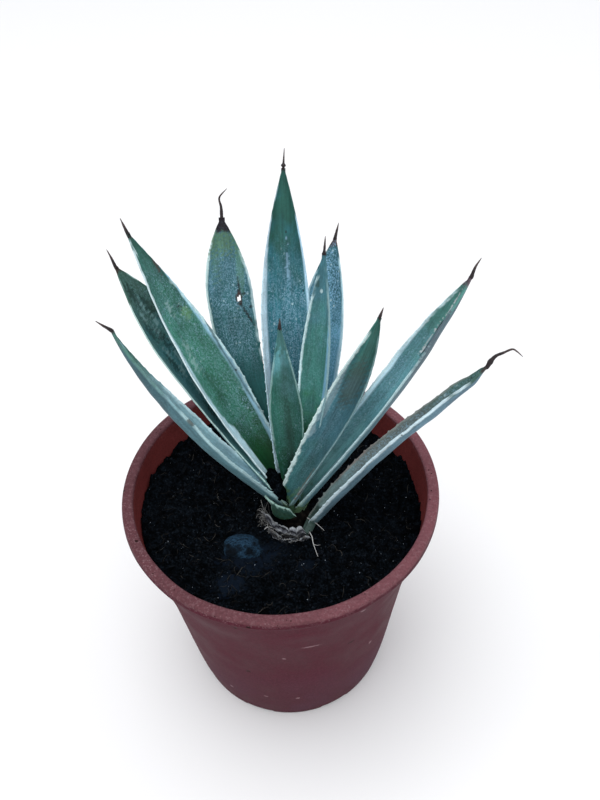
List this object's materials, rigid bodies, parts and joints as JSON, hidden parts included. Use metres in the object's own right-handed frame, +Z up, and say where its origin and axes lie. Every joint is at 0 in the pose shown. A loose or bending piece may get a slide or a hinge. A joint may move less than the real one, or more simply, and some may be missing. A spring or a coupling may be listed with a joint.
{
  "type": "potted agave",
  "caption": "Young blue-green agave with thorn-tipped, toothed leaves in a round tapered plastic nursery pot with a rolled lip, filled with dark potting mix.",
  "frame": {"origin": "centre of the pot's foot, on the surface it stands on", "axes": "+Z up along the pot's axis; +Y away from the viewer, the side to which the leaves spread and lean; +X to the viewer's right"},
  "size_m": [0.2311, 0.2, 0.3629],
  "materials": {
    "pot_plastic": "dusty burgundy",
    "potting_mix": "near-black fibrous potting mix",
    "pebble": "dusty dark-blue stone",
    "stem_bark": "dark rough stem",
    "leaf_flesh": "blue-green, waxy bloom, pale margins",
    "dry_sheath": "dried grey-brown fibre",
    "spine_horn": "dark brown horn"
  },
  "bodies": {
    "root": {"pot": "pot_plastic", "soil": "potting_mix", "stone": "pebble", "stem": "stem_bark", "crown_soil": "potting_mix", "leaf_stump": "leaf_flesh", "sheath_inner": "dry_sheath", "sheath_outer": "dry_sheath", "leaf_01": "leaf_flesh", "leaf_02": "leaf_flesh", "leaf_03": "leaf_flesh", "leaf_04": "leaf_flesh", "leaf_05": "leaf_flesh", "leaf_06": "leaf_flesh", "leaf_07": "leaf_flesh", "leaf_08": "leaf_flesh", "leaf_09": "leaf_flesh", "leaf_10": "leaf_flesh", "leaf_11": "leaf_flesh", "spine_01": "spine_horn", "spine_02": "spine_horn", "spine_03": "spine_horn", "spine_04": "spine_horn", "spine_05": "spine_horn", "spine_06": "spine_horn", "spine_07": "spine_horn", "spine_08": "spine_horn", "spine_09": "spine_horn", "spine_10": "spine_horn", "spine_11": "spine_horn"}
  },
  "joints": []
}
